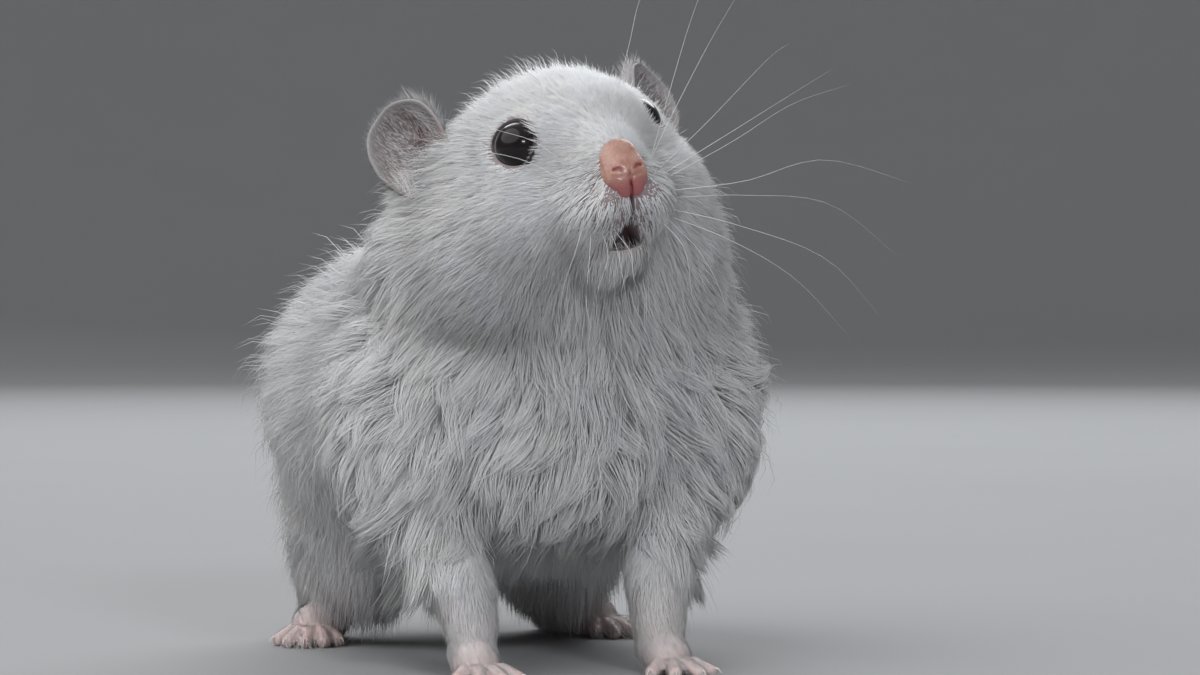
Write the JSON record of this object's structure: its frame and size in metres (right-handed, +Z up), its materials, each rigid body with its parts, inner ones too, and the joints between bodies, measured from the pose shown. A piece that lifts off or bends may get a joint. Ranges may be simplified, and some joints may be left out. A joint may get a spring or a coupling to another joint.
{
  "type": "dwarf hamster figure",
  "caption": "Life-size white dwarf hamster standing on all fours with its head raised, as a still museum-type model divided into head, neck, trunk and legs.",
  "frame": {"origin": "on the floor under the middle of the animal's bounding box", "axes": "+Z up, -Y the way the animal's body faces, +X its left side"},
  "size_m": [0.0498, 0.0774, 0.0619],
  "materials": {
    "white_coat": "soft white fur, longer and wispy on the chest, short on the face and legs",
    "ear_skin": "thin grey-pink skin with fine pale hairs",
    "nose_skin": "bare, slightly moist pink skin",
    "eye_gloss": "black, wet gloss",
    "foot_skin": "pink skin under sparse short white hairs"
  },
  "bodies": {
    "root": {"ear_left": "ear_skin", "ear_right": "ear_skin", "eye_left": "eye_gloss", "eye_right": "eye_gloss", "forefoot_left": "foot_skin", "forefoot_right": "foot_skin", "foreleg_left": "white_coat", "foreleg_right": "white_coat", "head": "white_coat", "hindfoot_left": "foot_skin", "hindfoot_right": "foot_skin", "hindleg_left": "white_coat", "hindleg_right": "white_coat", "lower_jaw": "white_coat", "neck": "white_coat", "nose": "nose_skin", "tail": "white_coat", "trunk": "white_coat"}
  },
  "joints": []
}
